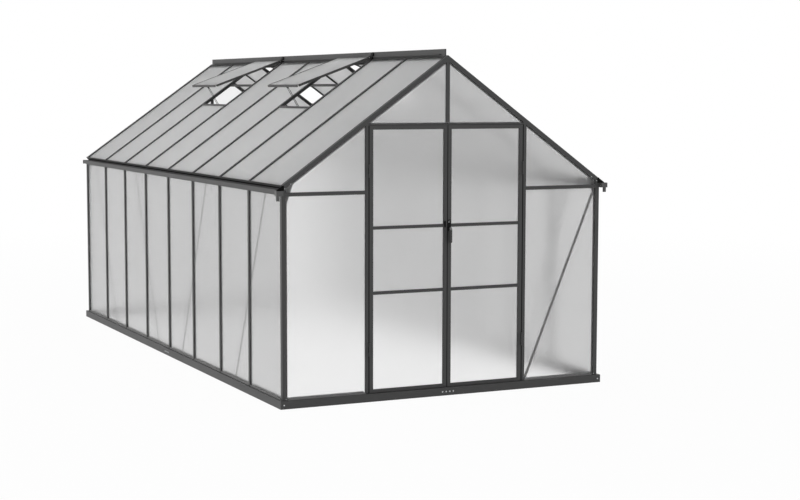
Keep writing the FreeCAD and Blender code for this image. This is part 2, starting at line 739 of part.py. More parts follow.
def frame_nuts():
    nuts = []
    for end in (-1, 1):
        face = end * (HALF_L - FLANGE_END - GUSSET_T)
        for side in (-1, 1):
            post_x = HALF_W - CORNER_CORE - NUT_INSET
            inner = HALF_W - CORNER_CORE - GUSSET_IN + NUT_INSET
            rafter_depth = CORNER_CORE + NUT_INSET
            places = [(post_x, GUSSET_LOW + 3 * NUT_INSET), (post_x, GUSSET_LOW + 5 * NUT_INSET),
                      (post_x - NUT_INSET, roof_z(post_x - NUT_INSET, rafter_depth)),
                      (inner, roof_z(inner, rafter_depth))]
            nuts += [nut(V(side * x, face, z), Y * -end) for x, z in places]
            for x in (APEX_PLATE_W / 4, APEX_PLATE_W / 2 - NUT_INSET):
                nuts.append(nut(V(side * x, face, roof_z(x, rafter_depth)), Y * -end))
    for side in (-1, 1):
        face = side * (HALF_W - RAIL_D - BRACE_T)
        for top, low in BRACES:
            for bay, z in ((top, RAIL_Z + BRACE_END), (low, BASE_H + BRACE_END)):
                nuts.append(nut(V(face, bay_line(bay), z), X * -side))
    return nuts


# Panels
def slot_from(half_core):
    return half_core + EDGE_GAP


def wall_panels_side(side):
    panels = []
    web = slot_from(WEB_T / 2)
    core = slot_from(CORNER_CORE)
    edges = [-HALF_L] + SIDE_LINES + [HALF_L]
    low = BASE_H + SILL_T + EDGE_GAP
    high = RAIL_Z + RAIL_SLOT - EDGE_GAP
    for k in range(BAYS_LONG):
        a = edges[k] + (core if k == 0 else web)
        b = edges[k + 1] - (core if k == BAYS_LONG - 1 else web)
        x = side * (HALF_W - PANEL_D)
        panels.append(box(x, x - side * PANEL_T, a, b, low, high))
    return panels


def roof_panels(side):
    panels = []
    web = slot_from(WEB_T / 2)
    core = slot_from(CORNER_CORE)
    edges = [-HALF_L] + SIDE_LINES + [HALF_L]
    for k in range(BAYS_LONG):
        a = edges[k] + (core if k == 0 else web)
        b = edges[k + 1] - (core if k == BAYS_LONG - 1 else web)
        top = slot_from(VENT_SILL_S + VENT_SILL_CORE) if k in VENT_BAYS else RIDGE_TOP_S
        low = ROOF_END_S - EDGE_GAP
        outline = [(0, 0), (0, PANEL_T), (low - top, PANEL_T), (low - top, 0)]
        panels.append(prism(outline, on_slope(side, top, PANEL_D, a), down(side), into(side), Y * (b - a)))
    return panels


def gable_panels(end, uprights):
    """Panels below and above the level bars; uprights are the clear stretches between the bars."""
    web = slot_from(WEB_T / 2)
    sill = BASE_H + SILL_T + EDGE_GAP
    depth = slot_from(CORNER_CORE)
    panels = []
    for a, b in uprights:
        panels.append(panel([(a, sill), (b, sill), (b, EAVE_BAR_Z - web), (a, EAVE_BAR_Z - web)], end))
        level = EAVE_BAR_Z + web
        outline = [(a, level), (b, level), (b, roof_z(b, depth)), (a, roof_z(a, depth))]
        panels.append(panel([p for p in outline if p[1] >= level], end))
    return panels


def front_panels():
    core = slot_from(CORNER_CORE)
    jamb = DOOR_HALF + slot_from(JAMB_CORE)
    web = slot_from(WEB_T / 2)
    panels = gable_panels(-1, [(-HALF_W + core, -jamb), (jamb, HALF_W - core)])
    level = HEADER_Z + HEADER_WEB_T + EDGE_GAP
    edge = DOOR_HALF
    outline = [(web, level), (edge, level), (edge, roof_z(edge, core)), (web, roof_z(web, core))]
    for side in (-1, 1):
        panels.append(panel([(side * x, z) for x, z in outline], -1))
    return panels


def rear_panels():
    core = slot_from(CORNER_CORE)
    web = slot_from(WEB_T / 2)
    starts = [-HALF_W + core] + [x + web for x in END_LINES]
    ends = [x - web for x in END_LINES] + [HALF_W - core]
    return gable_panels(1, list(zip(starts, ends)))


# Vent openings in the roof: sills, crossbars, pegs that guide the stays
def vent_sills(side):
    sills = []
    length = BAY - BAR_W - 2 * SEAT_GAP
    outline = edge_outline(SILL_CAP_W, VENT_SILL_CORE, BAR_D)
    for bay in VENT_BAYS:
        y = bay_line(bay) + BAR_W / 2 + SEAT_GAP
        sills.append(prism(outline, on_slope(side, VENT_SILL_S, 0, y), down(side), into(side), Y * length))
    return sills


def vent_crossbars(side):
    bars = []
    outline = [(0, 0), (CROSSBAR_W, 0), (CROSSBAR_W, CROSSBAR_T), (0, CROSSBAR_T)]
    for bay in VENT_BAYS:
        y = bay_line(bay) + WEB_T / 2
        start = on_slope(side, CROSSBAR_S, FLANGE_END, y)
        bars.append(prism(outline, start, down(side), into(side), Y * (BAY - WEB_T)))
    return bars


def closed_vent_point(side, along, up, y):
    """Point of a closed vent, along the slope and up from its hinge line."""
    return on_slope(side, HINGE_S + along, -HINGE_OUT - up, y)


def opened(shape_or_point, side):
    """A closed vent's shape or point, turned to the rest pose."""
    axis = V(0, -side, 0)
    centre = hinge_point(side, 0)
    turn = FreeCAD.Rotation(axis, VENT_OPEN)
    if isinstance(shape_or_point, FreeCAD.Vector):
        height = V(0, shape_or_point.y, 0)
        return centre + turn.multVec(shape_or_point - height - centre) + height
    return shape_or_point.rotated(centre, axis, VENT_OPEN)


PIVOT_ALONG = VENT_L - PIVOT_IN
PIVOT_UP = -VENT_UNDER - PIVOT_DROP


def bay_middle(bay):
    return bay_line(bay + 0.5)


def closed_pivot(side, bay):
    return closed_vent_point(side, PIVOT_ALONG, PIVOT_UP, bay_middle(bay))


def rest_pivot(side, bay):
    return opened(closed_pivot(side, bay), side)


def peg_point(side, bay):
    """Peg below the pivot of the closed vent, at a right angle to its lever arm."""
    pivot = closed_pivot(side, bay)
    arm = (pivot - hinge_point(side, bay_middle(bay))).normalize()
    return pivot + V(0, side, 0).cross(arm) * PEG_DROP


def stay_pegs(side):
    """Two cheek plates on the sill, with the peg between them."""
    pegs = []
    for bay in VENT_BAYS:
        peg = peg_point(side, bay)
        inner = STAY_T / 2 + CHEEK_GAP
        outer = inner + CHEEK_T
        peg_s = peg.x * side * COS + (APEX_Z - peg.z) * SIN
        peg_depth = (APEX_Z - peg.z) * COS - peg.x * side * SIN
        reach = VENT_SILL_S - peg_s
        outline = [(-CHEEK_H / 2, -CHEEK_H / 2), (reach, -CHEEK_H / 2), (reach, CHEEK_H / 2),
                   (-CHEEK_H / 2, CHEEK_H / 2)]
        cheeks = []
        for y in (peg.y - outer, peg.y + inner):
            start = on_slope(side, peg_s, peg_depth, y)
            cheeks.append(prism(outline, start, down(side), into(side), Y * CHEEK_T))
        pin = rod(PEG_R, V(peg.x, peg.y - outer, peg.z), Y * (2 * outer))
        pegs.append(pin.fuse(cheeks))
    return pegs


def vent_rail_outline():
    """Rail that takes the edge of the vent panel, as distance from its outer face and height."""
    w, lip, t = VENT_WALL, VENT_LIP, VENT_LIP_T
    top = VENT_OVER
    seat = top - t - PANEL_T - 2 * FACE_GAP
    return [(0, -VENT_UNDER), (w, -VENT_UNDER), (w, seat - t), (lip, seat - t), (lip, seat), (w, seat),
            (w, top - t), (lip, top - t), (lip, top), (0, top)]


def hook(side, y0, length):
    """Open ring round the hinge bead, with its mouth towards the neck of the bead."""
    axis = hinge_point(side, y0)
    run = Y * length
    ring = rod(BEAD_R + HOOK_GAP + HOOK_WALL, axis, run).cut(rod(BEAD_R + HOOK_GAP, axis, run))
    reach = 3 * (BEAD_R + HOOK_WALL)
    mouth = [(0, 0)]
    for turn in (-0.5, 0, 0.5):
        angle = math.radians(HOOK_MOUTH_AT + turn * HOOK_MOUTH)
        mouth.append((reach * math.cos(angle), reach * math.sin(angle)))
    return ring.cut(prism(mouth, axis, down(side), into(side) * -1, run))


def vent_frame(side, bay):
    y0, y1 = vent_edges(bay)
    out = into(side) * -1
    length = y1 - y0
    outline = vent_rail_outline()
    top_at = BEAD_R + HOOK_GAP + HOOK_WALL / 2
    top = prism(outline, closed_vent_point(side, top_at, 0, y0), down(side), out, Y * length)
    top = top.fuse(hook(side, y0, length)).cut(rod(BEAD_R + HOOK_GAP, hinge_point(side, y0), Y * length))
    foot = prism(outline, closed_vent_point(side, VENT_L, 0, y0), down(side) * -1, out, Y * length)
    middle = bay_middle(bay)
    shelf = [(0, -VENT_UNDER), (LUG_FLANGE, -VENT_UNDER), (LUG_FLANGE, VENT_WALL - VENT_UNDER),
             (0, VENT_WALL - VENT_UNDER)]
    shelf_y = middle - LUG_FLANGE / 2
    shelf = prism(shelf, closed_vent_point(side, VENT_L, 0, shelf_y), down(side) * -1, out, Y * LUG_FLANGE)
    foot = foot.fuse([shelf] + stay_lugs(side, bay)).removeSplitter()
    side_run = down(side) * (VENT_L - top_at - 2 * VENT_LIP)
    stiles = []
    for y, across in ((y0, Y), (y1, Y * -1)):
        start = closed_vent_point(side, top_at + VENT_LIP, 0, y)
        stiles.append(prism(outline, start, across, out, side_run))
    return [opened(shape, side) for shape in [top.removeSplitter(), foot] + stiles]


def stay_lugs(side, bay):
    """Two lugs under the lower rail, bored for the pivot pin of the stay."""
    lugs = []
    middle = bay_middle(bay)
    half = LUG_W / 2
    outline = [(-half, -half), (half, -half), (half, PIVOT_DROP), (-half, PIVOT_DROP)]
    inner = STAY_T / 2 + STAY_SIDE_GAP
    for y in (middle - inner - LUG_T, middle + inner):
        start = closed_vent_point(side, PIVOT_ALONG, PIVOT_UP, y)
        plate = prism(outline, start, down(side), into(side) * -1, Y * LUG_T)
        lugs.append(plate.cut(rod(PIVOT_R + HINGE_PLAY, start, Y * LUG_T)))
    return lugs


def vent_panel(side, bay):
    y0, y1 = vent_edges(bay)
    top_at = BEAD_R + HOOK_GAP + HOOK_WALL / 2
    inset = VENT_WALL + EDGE_GAP
    low = VENT_OVER - VENT_LIP_T - FACE_GAP - PANEL_T
    length = VENT_L - top_at - 2 * inset
    outline = [(0, 0), (length, 0), (length, PANEL_T), (0, PANEL_T)]
    start = closed_vent_point(side, top_at + inset, low, y0 + inset)
    width = y1 - y0 - 2 * inset
    return opened(prism(outline, start, down(side), into(side) * -1, Y * width), side)


def vent_stay(side, bay):
    """Flat strip on the vent's pivot pin, slotted for the peg on the sill."""
    pivot = rest_pivot(side, bay)
    peg = peg_point(side, bay)
    along = (peg - pivot).normalize()
    across = along.cross(Y)
    start = pivot - Y * (STAY_T / 2)
    half = STAY_W / 2

    def rounded(a, b, radius):
        """Strip with round ends centred at a and b along the stay."""
        bar = prism([(a, -radius), (b, -radius), (b, radius), (a, radius)], start, along, across, Y * STAY_T)
        ends = [rod(radius, start + along * u, Y * STAY_T) for u in (a, b)]
        return bar.fuse(ends).removeSplitter()

    arm = (closed_pivot(side, bay) - hinge_point(side, bay_middle(bay))).Length
    widest = 2 * arm * math.sin(math.radians(VENT_OPEN)) + PEG_DROP
    slot_r = PEG_R + SLOT_PLAY
    slot_end = widest + SLOT_PLAY
    slot = rounded(PEG_DROP - SLOT_PLAY, slot_end, slot_r)
    stay = rounded(0, slot_end + slot_r + STAY_END - half, half).cut(slot)
    pin_half = STAY_T / 2 + STAY_SIDE_GAP + LUG_T + STAY_SIDE_GAP
    pin = rod(PIVOT_R, pivot - Y * pin_half, Y * (2 * pin_half))
    heads = [rod(PIVOT_R + LUG_T, pivot + Y * (way * pin_half), Y * (way * LUG_T)) for way in (-1, 1)]
    return stay.fuse([pin] + heads).removeSplitter()


# Door leaves
LEAF_LOW = BASE_H + LEAF_FLOOR_GAP
LEAF_HIGH = HEADER_Z - LEAF_TOP_GAP
LEAF_OUT = DOOR_HALF - LEAF_HINGE_GAP


def door_frame(side):
    stile = edge_outline(STILE_W, STILE_CORE, LEAF_D)
    bottom = edge_outline(BOTTOM_RAIL_H, STILE_CORE, LEAF_D)
    height = UP * (LEAF_HIGH - LEAF_LOW)
    face = -HALF_L
    meeting = prism(stile, V(side * LEAF_MEET_GAP, face, LEAF_LOW), X * side, Y, height)
    hanging = prism(stile, V(side * LEAF_OUT, face, LEAF_LOW), X * -side, Y, height)
    inner = side * (LEAF_MEET_GAP + STILE_W)
    run = X * (side * (LEAF_OUT - LEAF_MEET_GAP - 2 * STILE_W))
    rails = [prism(stile, V(inner, face, LEAF_HIGH), UP * -1, Y, run),
             prism(bottom, V(inner, face, LEAF_LOW), UP, Y, run)]
    rails += [prism(bar_outline(MID_RAIL_W, False), V(inner, face, z), UP, Y, run) for z in MID_RAIL_Z]
    if side > 0:
        meeting = meeting.cut(rod(SPINDLE_R + SPINDLE_PLAY, handle_point(), Y * LEAF_D))
    return [meeting, hanging] + rails


def door_panels(side):
    web = slot_from(WEB_T / 2)
    core = slot_from(STILE_CORE)
    a, b = side * (LEAF_MEET_GAP + core), side * (LEAF_OUT - core)
    lows = [LEAF_LOW + core] + [z + web for z in MID_RAIL_Z]
    highs = [z - web for z in MID_RAIL_Z] + [LEAF_HIGH - core]
    y = -HALF_L + PANEL_D
    return [box(a, b, y, y + PANEL_T, low, high) for low, high in zip(lows, highs)]


# Door hinges: leaf halves, jamb halves and pins
def hinge_axis(side, z):
    return V(side * (DOOR_HALF + LEAF_OUT) / 2, -HALF_L - BARREL_OUT, z)


def knuckle(side, way, low, high, plate_low, plate_high):
    """Barrel from low to high, with its plate on the face to one side."""
    axis = hinge_axis(side, low)
    face = -HALF_L
    plate_y = face - HINGE_PLATE_T
    near = axis.x + way * HINGE_PLATE_GAP
    far = near + way * HINGE_PLATE_W
    barrel = rod(BARREL_R, axis, UP * (high - low))
    arm = box(axis.x, near, plate_y, face - SEAT_GAP, low, high)
    plate = box(near, far, plate_y, face, plate_low, plate_high)
    bore = rod(HINGE_PIN_R + HINGE_PLAY, axis, UP * (high - low))
    return barrel.fuse([arm, plate]).cut(bore).removeSplitter()


def hinge_spans(z):
    low, high = z - HINGE_H / 2, z + HINGE_H / 2
    return low, z - HINGE_MIDDLE_H / 2, z + HINGE_MIDDLE_H / 2, high


def leaf_hinges(side):
    halves = []
    for z in HINGE_Z:
        low, a, b, high = hinge_spans(z)
        halves.append(knuckle(side, -side, a + HINGE_END_GAP, b - HINGE_END_GAP, low, high))
    return halves


def jamb_hinges():
    halves = []
    for side in (-1, 1):
        for z in HINGE_Z:
            low, a, b, high = hinge_spans(z)
            lower = knuckle(side, side, low, a, low, high)
            upper = knuckle(side, side, b, high, low, high)
            halves.append(lower.fuse(upper).removeSplitter())
    return halves


def hinge_pins():
    pins = []
    for side in (-1, 1):
        for z in HINGE_Z:
            low, _, _, high = hinge_spans(z)
            shank = rod(HINGE_PIN_R, hinge_axis(side, low), UP * (high - low))
            head = rod(PIN_HEAD_R, hinge_axis(side, high), UP * PIN_HEAD_H)
            pins.append(shank.fuse(head))
    return pins


# Door handle on the right leaf, pull plate on the left leaf
def handle_point():
    return V(LEAF_MEET_GAP + HANDLE_IN, -HALF_L, HANDLE_Z)


def handle_plate():
    p = handle_point()
    front = p.y - HANDLE_PLATE_T
    left = LEAF_MEET_GAP + SEAT_GAP
    plate = box(left, left + HANDLE_PLATE_W, p.y, front, p.z - HANDLE_PLATE_DOWN, p.z + HANDLE_PLATE_UP)
    boss = rod(BOSS_R, p, Y * -(HANDLE_PLATE_T + BOSS_H))
    lock = rod(LOCK_R, p + UP * LOCK_UP, Y * -(HANDLE_PLATE_T + LOCK_H))
    bore = rod(SPINDLE_R + SPINDLE_PLAY, p, Y * -(HANDLE_PLATE_T + BOSS_H))
    return plate.fuse([boss, lock]).cut(bore).removeSplitter()


def handle_lever():
    """Hub and hanging grip in front, spindle through the stile, latch tongue behind it."""
    p = handle_point()
    hub_y = -(HANDLE_PLATE_T + BOSS_H + LEVER_GAP)
    hub_face = p + Y * hub_y
    hub = rod(LEVER_HUB_R, hub_face, Y * -LEVER_HUB_H)
    half = LEVER_W / 2
    grip_y = hub_face.y - LEVER_HUB_H
    grip = box(p.x - half, p.x + half, grip_y, grip_y + LEVER_T, p.z - LEVER_L, p.z)
    back = LEAF_D + TONGUE_GAP
    spindle = rod(SPINDLE_R, hub_face, Y * (back + TONGUE_T - hub_y))
    half = TONGUE_W / 2
    tongue = box(p.x - half, p.x + half, p.y + back, p.y + back + TONGUE_T, p.z - half, p.z + TONGUE_L)
    return hub.fuse([grip, spindle, tongue]).removeSplitter()


def door_pull():
    outline = [(-PULL_W / 2, 0), (PULL_W / 2, 0), (PULL_W / 4, PULL_T), (-PULL_W / 4, PULL_T)]
    return prism(outline, V(PULL_X, -HALF_L, PULL_Z - PULL_H / 2), X, Y * -1, UP * PULL_H)


SIDES = {-1: "left", 1: "right"}
ENDS = {-1: "front", 1: "rear"}


def build():
    """Every node's solids, by name."""
    nodes = {}
    for side, name in SIDES.items():
        nodes["studs_" + name] = side_studs(side)
        nodes["roof_bars_" + name] = roof_bars(side)
        nodes["wall_panels_" + name] = wall_panels_side(side)
        nodes["roof_panels_" + name] = roof_panels(side)
        nodes["door_frame_" + name] = door_frame(side)
        nodes["door_panels_" + name] = door_panels(side)
        nodes["door_hinges_" + name] = leaf_hinges(side)
        for bay, place in zip(VENT_BAYS, ENDS.values()):
            vent = "vent_" + place + "_" + name
            nodes[vent + "_frame"] = vent_frame(side, bay)
            nodes[vent + "_panel"] = [vent_panel(side, bay)]
            nodes[vent + "_stay"] = [vent_stay(side, bay)]
    nodes["base_ends"] = with_base_holes(base_end(-1) + base_end(1))
    nodes["base_sides"] = with_base_holes(base_side(-1) + base_side(1))
    nodes["base_splices"] = with_base_holes(base_splices())
    nodes["base_corner_brackets"] = with_base_holes(base_corner_brackets())
    nodes["base_bolts"] = base_bolts()
    nodes["sill_rails"] = sill_rails_sides() + sill_rails_gables()
    nodes["corner_posts"] = [corner_post(side, end) for side in SIDES for end in ENDS]
    nodes["studs_rear"] = [gable_bar(x, 1, BASE_H) for x in END_LINES]
    nodes["gable_bar_front"] = [gable_bar(0, -1, HEADER_Z + HEADER_FLANGE_H)]
    nodes["gable_level_bars"] = level_bars(-1) + level_bars(1)
    nodes["door_jambs"] = [door_jamb(side) for side in SIDES]
    nodes["door_header"] = [door_header()]
    nodes["eave_rails"] = [eave_rail(side) for side in SIDES]
    nodes["eave_noses"] = [eave_nose(side) for side in SIDES]
    nodes["gutters"] = [gutter(side) for side in SIDES]
    nodes["gutter_end_caps"] = [gutter_end_cap(side) for side in SIDES]
    nodes["gutter_outlets"] = [gutter_outlet(side) for side in SIDES]
    nodes["gable_rafters"] = [gable_rafter(side, end) for side in SIDES for end in ENDS]
    nodes["ridge_beam"] = [ridge_beam()]
    nodes["ridge_cap"] = [ridge_cap()]
    nodes["vent_stops"] = vent_stops()
    nodes["vent_sills"] = vent_sills(-1) + vent_sills(1)
    nodes["vent_crossbars"] = vent_crossbars(-1) + vent_crossbars(1)
    nodes["stay_pegs"] = stay_pegs(-1) + stay_pegs(1)
    nodes["gusset_plates"] = gusset_plates()
    nodes["wall_braces"] = wall_braces()
    nodes["frame_nuts"] = frame_nuts()
    nodes["front_panels"] = front_panels()
    nodes["rear_panels"] = rear_panels()
    nodes["jamb_hinges"] = jamb_hinges()
    nodes["hinge_pins"] = hinge_pins()
    nodes["handle_plate"] = [handle_plate()]
    nodes["handle_lever"] = [handle_lever()]
    nodes["door_pull"] = [door_pull()]
    return nodes


os.makedirs("parts", exist_ok=True)
for node, shapes in build().items():
    solids = [solid for shape in shapes for solid in shape.Solids]
    whole = solids[0] if len(solids) == 1 else Part.makeCompound(solids)
    whole.exportStep("parts/" + node + ".step")
    print(node, len(solids), round(sum(s.Volume for s in solids) / 1000, 1), whole.isValid())
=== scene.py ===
import math

import bpy
from mathutils import Euler, Matrix, Vector


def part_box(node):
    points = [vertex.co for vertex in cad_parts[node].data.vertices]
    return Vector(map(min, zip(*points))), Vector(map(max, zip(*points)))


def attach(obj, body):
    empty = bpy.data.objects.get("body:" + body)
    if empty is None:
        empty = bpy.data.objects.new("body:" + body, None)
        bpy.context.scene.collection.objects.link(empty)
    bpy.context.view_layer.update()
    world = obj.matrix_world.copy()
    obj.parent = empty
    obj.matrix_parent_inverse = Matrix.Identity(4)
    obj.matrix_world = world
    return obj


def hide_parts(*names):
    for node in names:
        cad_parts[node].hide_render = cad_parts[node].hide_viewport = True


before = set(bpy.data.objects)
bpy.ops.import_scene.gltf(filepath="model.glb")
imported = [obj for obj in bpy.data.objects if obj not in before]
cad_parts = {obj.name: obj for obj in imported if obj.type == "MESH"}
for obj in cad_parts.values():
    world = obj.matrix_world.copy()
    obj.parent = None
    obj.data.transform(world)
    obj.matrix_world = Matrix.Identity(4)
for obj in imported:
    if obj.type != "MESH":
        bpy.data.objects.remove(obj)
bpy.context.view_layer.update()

# Base rails
# Extruded aluminium channels that lie on the ground and carry every post and stud. Each side is two
# lengths, mitred at the corners and powder coated in the dark grey of the whole frame.
MM = 0.001


def linear(code):
    """An sRGB hex colour as linear red, green, blue and alpha."""
    parts = [int(code[i:i + 2], 16) / 255 for i in (1, 3, 5)]
    return [c / 12.92 if c <= 0.04045 else ((c + 0.055) / 1.055) ** 2.4 for c in parts] + [1.0]


def add_node(tree, kind, links=None, **settings):
    """Adds a node with its settings; links gives sockets a value or another node's output."""
    node = tree.nodes.new(kind)
    for name, value in settings.items():
        setattr(node, name, value)
    for socket, value in (links or {}).items():
        if isinstance(value, bpy.types.NodeSocket):
            tree.links.new(value, node.inputs[socket])
        else:
            node.inputs[socket].default_value = value
    return node


def new_finish(name):
    """An empty material, its node tree, its shader and its object coordinates."""
    material = bpy.data.materials.new(name)
    material.use_nodes = True
    tree = material.node_tree
    place = add_node(tree, "ShaderNodeTexCoord").outputs["Object"]
    return material, tree, tree.nodes["Principled BSDF"], place


def dress(finish, *nodes):
    """Gives CAD nodes their finish."""
    for node in nodes:
        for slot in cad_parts[node].material_slots:
            slot.material = finish


# Polyester powder coat on aluminium, sprayed and baked: an even satin grey that drifts a little in
# tone from length to length, over a fine orange peel that breaks up the gloss.
COAT_DARK, COAT_LIGHT = "#424242", "#4a4a4a"
COAT_DRIFT = 260 * MM
COAT_PEEL = 3 * MM          # real peel is about 1 mm, drawn coarser so that it shows
COAT_PEEL_DEPTH = 0.2 * MM
COAT_ROUGH = (0.42, 0.58)
powder_coat, tree, shader, place = new_finish("satin_powder_coat")
drift = add_node(tree, "ShaderNodeTexNoise", {"Vector": place, "Scale": 1 / COAT_DRIFT, "Detail": 4.0})
tone = add_node(tree, "ShaderNodeMix", data_type="RGBA",          # sockets 6 and 7 are its two colours
                links={0: drift.outputs[0], 6: linear(COAT_DARK), 7: linear(COAT_LIGHT)})
gloss = add_node(tree, "ShaderNodeMapRange",
                 {"Value": drift.outputs[0], "To Min": COAT_ROUGH[0], "To Max": COAT_ROUGH[1]})
peel = add_node(tree, "ShaderNodeTexNoise", {"Vector": place, "Scale": 1 / COAT_PEEL, "Detail": 2.0})
relief = add_node(tree, "ShaderNodeBump",
                  {"Height": peel.outputs[0], "Strength": 0.12, "Distance": COAT_PEEL_DEPTH})
shader.inputs["Specular IOR Level"].default_value = 0.3
tree.links.new(tone.outputs[2], shader.inputs["Base Color"])
tree.links.new(gloss.outputs[0], shader.inputs["Roughness"])
tree.links.new(relief.outputs[0], shader.inputs["Normal"])
dress(powder_coat, "base_ends", "base_sides")

# Base joints
# Folded steel splice plates and corner brackets inside the channels, bright zinc plated, drawn up by
# hexagon bolts whose heads and washers show on the outside as small bright dots.
BOLT_HEAD_R, BOLT_HEAD_H, BOLT_SHANK_R = 4.2 * MM, 2.9 * MM, 3 * MM
BOLT_GRIP, NUT_H = 6 * MM, 5 * MM
WASHER_R, WASHER_T = 5.4 * MM, 1.1 * MM
WASHER_RIM, HEX_RIM, SHANK_RIM = 0.4 * MM, 0.8 * MM, 0.5 * MM          # chamfers
WASHER_SIDES, HEX_SIDES, SHANK_SIDES = 24, 6, 12
BOLT_Z = 27.5 * MM
SPLICE_PITCH, SPLICE_COUNT = 28 * MM, 4
CORNER_BOLT = 24 * MM          # from the corner of the base
ON_PLANE = 0.001 * MM          # points nearer to a plane than this lie on it


def start_mesh(add, **sizes):
    """Adds a primitive with nothing else selected, and returns it with its place in its mesh."""
    bpy.ops.object.select_all(action="DESELECT")
    add(**sizes)
    bpy.ops.object.transform_apply(location=True, rotation=True, scale=True)
    return bpy.context.object


def pick(piece, faces=None, edges=None):
    """Enters edit mode with the faces or the edges selected that a test wants."""
    for part in (*piece.data.vertices, *piece.data.edges, *piece.data.polygons):
        part.select = False
    bpy.context.tool_settings.mesh_select_mode = (False, edges is not None, faces is not None)
    points = piece.data.vertices
    if faces:
        for face in piece.data.polygons:
            face.select = faces(face)
    else:
        for edge in piece.data.edges:
            edge.select = edges(*(points[i].co for i in edge.vertices))
    bpy.ops.object.mode_set(mode="EDIT")


def join(pieces):
    """Joins pieces into one object."""
    bpy.ops.object.select_all(action="DESELECT")
    for piece in pieces:
        piece.select_set(True)
    bpy.context.view_layer.objects.active = pieces[0]
    bpy.ops.object.join()
    return pieces[0]


def smooth(piece, degrees=35):
    """Smooth shading across edges flatter than the angle."""
    bpy.ops.object.select_all(action="DESELECT")
    piece.select_set(True)
    bpy.context.view_layer.objects.active = piece
    bpy.ops.object.shade_smooth_by_angle(angle=math.radians(degrees))


def finish_piece(piece, name, finish, body, slot, *nodes):
    """Name, material, body and the CAD nodes that a new piece stands for; the record slot is not used."""
    piece.name = piece.data.name = name
    piece.data.materials.clear()
    piece.data.materials.append(finish)
    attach(piece, body)
    if nodes:
        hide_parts(*nodes)


def disc(radius, y0, y1, sides, chamfer, x=0.0, z=0.0):
    """Round or six-sided stock along Y, in metres, with the rim at one face, y0, broken by a chamfer."""
    stock = start_mesh(bpy.ops.mesh.primitive_cylinder_add, vertices=sides, radius=radius,
                       depth=abs(y1 - y0), location=(x, (y0 + y1) / 2, z), rotation=(math.pi / 2, 0, 0))
    pick(stock, edges=lambda a, b: max(abs(a.y - y0), abs(b.y - y0)) < ON_PLANE)
    bpy.ops.mesh.bevel(offset=chamfer, segments=2, affect="EDGES")
    bpy.ops.object.mode_set(mode="OBJECT")
    return stock


def copied(master, matrix):
    """Copy of a piece with its own mesh, moved by a matrix."""
    copy = master.copy()
    copy.data = master.data.copy()
    copy.data.transform(matrix)
    bpy.context.scene.collection.objects.link(copy)
    return copy


# Bright zinc plate over steel: a pale silvery metal with a fine, slightly cloudy crystal grain.
ZINC_DARK, ZINC_LIGHT = "#b4b6b7", "#d6d8d9"
ZINC_GRAIN = 5 * MM
ZINC_ROUGH = (0.28, 0.42)
zinc_plate, tree, shader, place = new_finish("bright_zinc_plated_steel")
grain = add_node(tree, "ShaderNodeTexVoronoi", {"Vector": place, "Scale": 1 / ZINC_GRAIN})
tone = add_node(tree, "ShaderNodeMix", data_type="RGBA",
                links={0: grain.outputs["Color"], 6: linear(ZINC_DARK), 7: linear(ZINC_LIGHT)})
gloss = add_node(tree, "ShaderNodeMapRange",
                 {"Value": grain.outputs["Color"], "To Min": ZINC_ROUGH[0], "To Max": ZINC_ROUGH[1]})
shader.inputs["Metallic"].default_value = 1.0
tree.links.new(tone.outputs[2], shader.inputs["Base Color"])
tree.links.new(gloss.outputs[0], shader.inputs["Roughness"])
dress(zinc_plate, "base_splices", "base_corner_brackets")

bolt = join([
    disc(WASHER_R, -WASHER_T, 0, WASHER_SIDES, WASHER_RIM),
    disc(BOLT_HEAD_R, -WASHER_T - BOLT_HEAD_H, -WASHER_T, HEX_SIDES, HEX_RIM),
    disc(BOLT_SHANK_R, BOLT_GRIP + NUT_H + BOLT_SHANK_R, 0, SHANK_SIDES, SHANK_RIM),
    disc(BOLT_HEAD_R, BOLT_GRIP + NUT_H, BOLT_GRIP, HEX_SIDES, HEX_RIM)])
base_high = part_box("base_ends")[1]
splice_bolts = [(k - (SPLICE_COUNT - 1) / 2) * SPLICE_PITCH for k in range(SPLICE_COUNT)]
corner_bolts = [side * (base_high.x - CORNER_BOLT) for side in (-1, 1)]
bolts = []
for turn, face, along in ((0, base_high.y, splice_bolts + corner_bolts), (90, base_high.x, splice_bolts)):
    for back in (0, 180):
        to_face = Matrix.Rotation(math.radians(turn + back), 4, "Z")
        bolts += [copied(bolt, to_face @ Matrix.Translation((u, -face, BOLT_Z))) for u in along]
bpy.data.objects.remove(bolt)
base_bolts = join(bolts)
smooth(base_bolts)
finish_piece(base_bolts, "base_bolt_set", zinc_plate, "frame", "plated_steel", "base_bolts")

# Sills, posts and studs
# Extruded bars with slots for the panels, screwed to the base: sills along its edge, angle posts at
# the corners, studs between them, jambs and header round the doorway.
dress(powder_coat, "corner_posts", "studs_left", "studs_right", "studs_rear",
      "door_jambs", "door_header", "gable_level_bars", "gable_bar_front")

# Anodised aluminium without the coat, on the sills: a paler, evenly matt grey with a fine etched grain.
# The paleness is partly painted light: the grey is raised well above the metal's own to cancel the shade that
# the base's ledge casts on the sills.
SILL_DARK, SILL_LIGHT = "#787878", "#808080"
SILL_GRAIN = 6 * MM         # the etching is finer, drawn coarser so that it shows
anodised_and_painted_light, tree, shader, place = new_finish("matt_anodised_aluminium_and_painted_light")
grain = add_node(tree, "ShaderNodeTexNoise", {"Vector": place, "Scale": 1 / SILL_GRAIN, "Detail": 2.0})
tone = add_node(tree, "ShaderNodeMix", data_type="RGBA",
                links={0: grain.outputs[0], 6: linear(SILL_DARK), 7: linear(SILL_LIGHT)})
shader.inputs["Roughness"].default_value = 0.5
tree.links.new(tone.outputs[2], shader.inputs["Base Color"])
dress(anodised_and_painted_light, "sill_rails")
